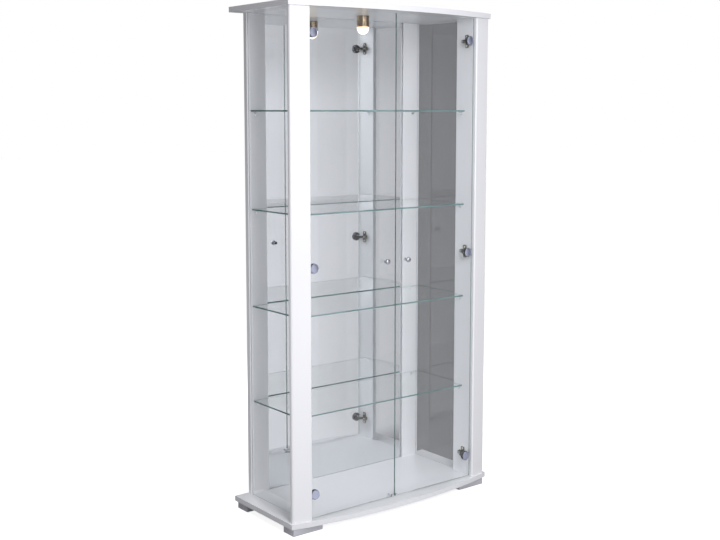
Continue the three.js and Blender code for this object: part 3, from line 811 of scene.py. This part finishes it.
def make_barrel():
    """The lamp's polished holder: a cup with a rolled rim and two grooves, open below for the bulb."""
    low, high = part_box("lamp_holder")
    height = (high.z - low.z) / MM
    radius, groove_radius = 22, 21.3
    bore, bore_end = 16, 32
    wire_hole = 4
    barrel = turned(
        [
            (bore, bore_end),
            (bore, 0.6),
            (16.6, 0),
            (20.4, 0),
            (21.6, 0.5),
            (radius, 1.6),
            (radius, 7),
            (groove_radius, 7.6),
            (groove_radius, 8.8),
            (radius, 9.4),
            (radius, height - 10),
            (groove_radius, height - 9.4),
            (groove_radius, height - 8.2),
            (radius, height - 7.6),
            (radius, height - 1),
            (21.5, height),
            (wire_hole, height),
            (wire_hole, bore_end),
        ],
        64,
        closed=True,
    )
    moved(barrel, upright_at(low, high, low.z))
    make_piece("lamp_barrel", [(barrel, LAMP_METAL_PAINTED_REFLECTIONS)], "cabinet", ["lamp_holder"])


def make_bulb():
    """The lit bulb: a dome below the barrel's rim, and a neck up inside the barrel."""
    low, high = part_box("lamp_bulb")
    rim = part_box("lamp_holder")[0].z
    inside_box = 1.5
    below_rim = 0.3
    radius = (high.x - low.x) / 2 / MM - inside_box
    depth = (rim - low.z) / MM - below_rim
    steps = 14
    dome = [(0, 0)]
    for step in range(1, steps + 1):
        angle = math.pi / 2 * step / steps
        dome.append((radius * math.sin(angle), depth * (1 - math.cos(angle))))
    neck_radius, neck_top = 13, depth + 26
    neck = [
        (radius - 0.7, depth + 0.15),
        (14, depth + 0.15),
        (neck_radius, depth + 1),
        (neck_radius, neck_top),
        (0, neck_top),
    ]
    bulb = turned([*dome, *neck], 64)
    moved(bulb, upright_at(low, high, low.z))
    make_piece("lamp_globe", [(bulb, OPAL)], "cabinet", ["lamp_bulb"])


def make_grommet():
    """A ring through the top board, with a flange in the board's upper face."""
    low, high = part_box("cable_grommet")
    height = (high.z - low.z) / MM
    hole, tube, flange = 3, 5.7, 9
    under_flange = height - 2
    grommet = turned(
        [
            (hole, 0.6),
            (3.6, 0),
            (5.2, 0),
            (tube, 0.6),
            (tube, under_flange),
            (8.6, under_flange),
            (flange, height - 1.6),
            (flange, height - 0.9),
            (8.2, height - 0.1),
            (7, height),
            (4, height),
            (hole, height - 0.8),
        ],
        48,
        closed=True,
    )
    moved(grommet, upright_at(low, high, low.z))
    make_piece("grommet_ring", [(grommet, GREY_PLASTIC)], "cabinet", ["cable_grommet"])


# Floor, light and camera --------------------------------------------------------------------------


def mixed_colour(material, share, first, second):
    """The first colour where the share is 0 and the second where it is 1."""
    inputs = {0: share, MIX_FIRST: first, MIX_SECOND: second}
    return add_node(material, "ShaderNodeMix", inputs, data_type="RGBA").outputs[MIX_RESULT]


def fill_share(material, path, fill):
    """1 for what the glass and mirror show, and the fill for the light that falls on dull surfaces."""
    made = add_node(
        material, "ShaderNodeMix", {"Factor": path.outputs["Is Diffuse Ray"], "A": 1.0, "B": fill}
    )
    return made.outputs[0]


def tinted(material, tone, share):
    """The studio's tint at a share of a tone."""
    strength = product(material, tone, share)
    made = add_node(
        material, "ShaderNodeVectorMath", {0: STUDIO_TINT, "Scale": strength}, operation="SCALE"
    )
    return made.outputs[0]


def rightward_fall(material, bearing):
    """How the studio dims from left to right, by the X of a bearing."""
    left_end, right_end = 0.5, 0.7
    return spread(material, bearing, LEFT_SHARE, RIGHT_SHARE, left_end, right_end, "SMOOTHSTEP")


def floor_bearing(material, place):
    """The X of each floor point's bearing from a fixed point, the mirror image of CAMERA_PLACE. Taken from
    there, the floor's dimming meets the backdrop's at the horizon. The point stays put in every view."""
    mirror_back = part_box("back_mirror")[1].y
    seen_from = (CAMERA_PLACE[0], 2 * mirror_back - CAMERA_PLACE[1], 0)
    offset = add_node(
        material, "ShaderNodeVectorMath", {0: place.outputs["Object"], 1: seen_from}, operation="SUBTRACT"
    )
    unit = add_node(
        material, "ShaderNodeVectorMath", {0: offset.outputs["Vector"]}, operation="NORMALIZE"
    )
    parts = add_node(material, "ShaderNodeSeparateXYZ", {"Vector": unit.outputs["Vector"]})
    return parts.outputs["X"]


def make_floor():
    """A pale floor, white to the camera but for faint shadows. What is seen of it through glass or in the
    mirror is toned as in a dim studio: bright in front of the cabinet, dimmer to the right, and dark under and
    behind the cabinet. The dark under it is a painted shadow."""
    bpy.ops.mesh.primitive_plane_add(size=FLOOR_SIZE)
    floor = bpy.context.object
    floor.name = "floor"
    material = new_material(
        "pale floor", {"Roughness": 0.9, "Specular IOR Level": 0.0, "Emission Strength": 1.0}
    )
    place = add_node(material, "ShaderNodeTexCoord")
    spot = add_node(material, "ShaderNodeSeparateXYZ", {"Vector": place.outputs["Object"]})
    far_out, close_up = -5, -0.8
    under_front, under_back = -0.3, -0.06
    near = spread(material, spot.outputs["Y"], HORIZON_TONE, NEAR_TONE, far_out, close_up)
    ahead = product(material, near, rightward_fall(material, floor_bearing(material, place)))
    # Painted shadow: to the glass and mirror, and in the light it gives, the floor darkens from just in front
    # of the cabinet to BACK_TONE under it and behind it.
    tone = spread(material, spot.outputs["Y"], ahead, BACK_TONE, under_front, under_back)
    path = add_node(material, "ShaderNodeLightPath")
    toned = tinted(material, tone, fill_share(material, path, FLOOR_FILL))
    lift = mixed_colour(material, path.outputs["Is Camera Ray"], toned, FLOOR_LIFT)
    base = mixed_colour(material, path.outputs["Is Camera Ray"], NO_COLOUR, FLOOR_BASE)
    feed(material, "Emission Color", lift)
    feed(material, "Base Color", base)
    material.cycles.emission_sampling = "NONE"
    floor.data.materials.append(material)


def make_world():
    """White to the camera. It lights the cabinet softly from the front and above, dimly from elsewhere.
    What the glass and mirror show of its front dims towards the right."""
    world = bpy.data.worlds.new("studio")
    bpy.context.scene.world = world
    world.use_nodes = True
    world.node_tree.nodes.clear()
    place = add_node(world, "ShaderNodeTexCoord")
    way = add_node(world, "ShaderNodeSeparateXYZ", {"Vector": place.outputs["Generated"]})

    def ramp(axis, start, end, low, high):
        """Low to high, as the way's share along an axis goes from start to end."""
        return spread(world, way.outputs[axis], low, high, start, end, "SMOOTHSTEP")

    level = ramp("Z", 0.0, 0.06, HORIZON_TONE, FRONT_TONE)
    ahead = product(world, level, rightward_fall(world, way.outputs["X"]))
    front = ramp("Y", 0.0, -0.6, BACK_TONE, ahead)
    above = ramp("Z", 0.25, 0.9, 0.0, ABOVE_TONE)
    backdrop_fill = ramp("X", 0.1, 0.9, BACKDROP_FILL, BACKDROP_FILL_RIGHT)
    total = add_node(world, "ShaderNodeMath", {0: front, 1: above}, operation="ADD")
    path = add_node(world, "ShaderNodeLightPath")
    toned = tinted(world, total.outputs[0], fill_share(world, path, backdrop_fill))
    soft = add_node(world, "ShaderNodeBackground", {"Color": toned, "Strength": 1.0})
    plain = add_node(world, "ShaderNodeBackground", {"Color": (1, 1, 1, 1), "Strength": 1.0})
    mix = add_node(
        world,
        "ShaderNodeMixShader",
        {0: path.outputs["Is Camera Ray"], 1: soft.outputs[0], 2: plain.outputs[0]},
    )
    output = add_node(world, "ShaderNodeOutputWorld")
    world.node_tree.links.new(mix.outputs[0], output.inputs["Surface"])


def add_softbox(name, place, target, size, power, mirrored=False):
    """A rectangular area light. Glass and mirror show it only if it is meant to be mirrored."""
    light = bpy.data.lights.new(name, "AREA")
    light.shape = "RECTANGLE"
    light.size, light.size_y = size
    light.energy = power
    light.color = LIGHT_COLOUR
    box = bpy.data.objects.new(name, light)
    bpy.context.scene.collection.objects.link(box)
    box.location = place
    box.rotation_euler = (Vector(target) - Vector(place)).to_track_quat("-Z", "Y").to_euler()
    box.visible_camera = False
    box.visible_glossy = mirrored
    box.visible_transmission = False


def make_lights():
    """Place, target, size in metres and power in watts of each light."""
    add_softbox("key", (-0.85, -2.3, 1.9), (0, 0, 0.9), (0.7, 1.8), 47.5, mirrored=True)
    add_softbox("overhead", (0, -0.4, 3.4), (0, 0, 0), (1.2, 1.4), 15, mirrored=True)
    add_softbox("low front", (0.4, -2.2, 0.35), (0.4, 0, 0.35), (0.6, 0.5), 9)
    add_softbox("low left", (-1.7, 0.1, 0.5), (-0.44, 0, 0.03), (0.9, 0.7), 4)
    add_softbox("left", (-2.2, 0.6, 0.8), (-0.44, 0, 0.7), (0.8, 1.0), 1.7)
    add_softbox("right", (2.3, 0.3, 0.8), (0.44, 0, 0.8), (0.8, 1.2), 7)
    add_softbox("rear", (0, 2.4, 0.7), (0, 0.2, 0.8), (0.6, 1.2), 26)


def make_camera():
    data = bpy.data.cameras.new("camera")
    data.lens = CAMERA_LENS
    data.sensor_width = CAMERA_SENSOR
    data.shift_y = CAMERA_SHIFT
    camera = bpy.data.objects.new("camera", data)
    camera.location = CAMERA_PLACE
    camera.rotation_euler = (math.pi / 2 - CAMERA_DOWN, 0, -CAMERA_RIGHT)
    bpy.context.scene.collection.objects.link(camera)
    bpy.context.scene.camera = camera


def set_light_paths():
    """Enough bounces for light through four shelves and both sides of the glass, and plain tones."""
    through_glass = 20
    scene = bpy.context.scene
    scene.view_settings.view_transform = "Standard"
    scene.cycles.max_bounces = through_glass
    scene.cycles.glossy_bounces = 10
    scene.cycles.transmission_bounces = through_glass
    scene.cycles.transparent_max_bounces = 40


make_camera()
make_boards()
make_feet()
make_back()
make_panes()
make_supports()
make_hinges()
make_knobs()
make_strikers()
make_catch()
make_barrel()
make_bulb()
make_grommet()
make_floor()
make_world()
make_lights()
set_light_paths()
